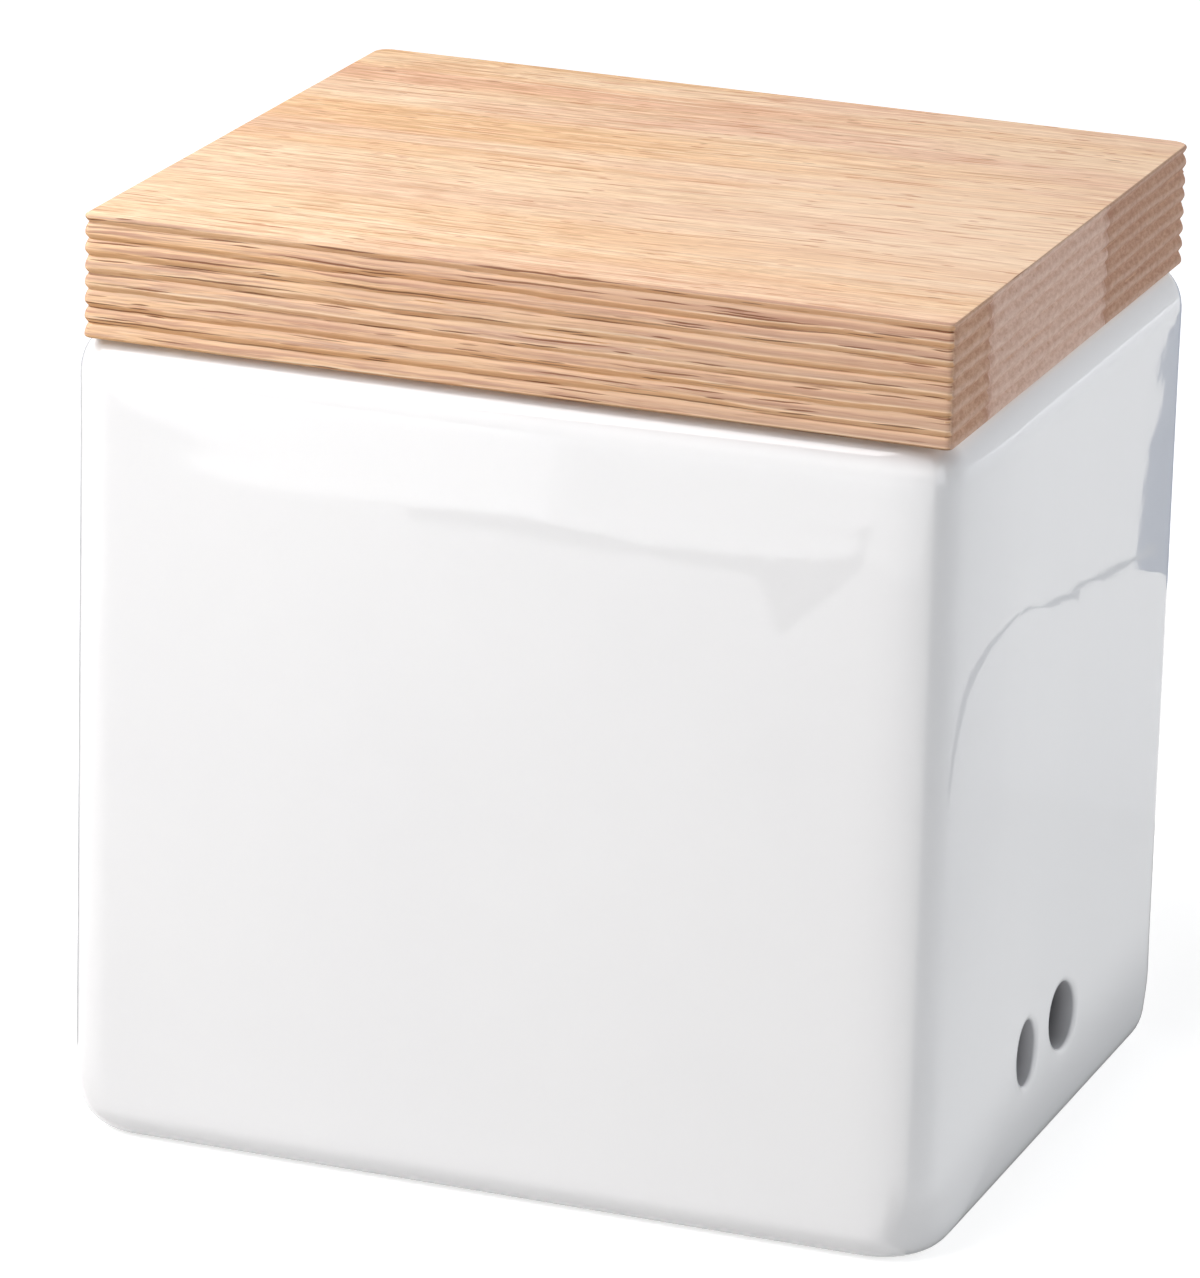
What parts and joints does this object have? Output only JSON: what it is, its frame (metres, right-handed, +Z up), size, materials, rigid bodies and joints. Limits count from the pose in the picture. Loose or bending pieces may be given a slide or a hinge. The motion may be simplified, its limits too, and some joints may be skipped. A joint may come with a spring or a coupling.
{
  "type": "ceramic canister",
  "caption": "Box-shaped glazed ceramic keeper with rounded upright corners, round vents low in the side walls and a lift-off reeded wooden lid.",
  "frame": {"origin": "middle of the base, in the plane that the foot ring stands on", "axes": "+Z up, -Y out of the wide front face, +X out of the right-hand side wall with vents"},
  "size_m": [0.129, 0.1064, 0.134],
  "materials": {
    "glaze": "glossy clear-over-white glaze, bare fired clay under the foot ring",
    "wood": "pale honey hardwood, oiled, straight grain along the width with fine dark pores",
    "seal": "translucent white silicone, satin"
  },
  "bodies": {
    "pot": {"ceramic_body": "glaze"},
    "lid": {"lid_stave_front": "wood", "lid_stave_middle": "wood", "lid_stave_back": "wood", "lid_plug": "wood", "seal_ring": "seal"}
  },
  "joints": [
    {"name": "lid_lift", "type": "slide", "parent": "pot", "child": "lid", "axis": [0, 0, 1], "range_m": [0, 0.12]}
  ]
}
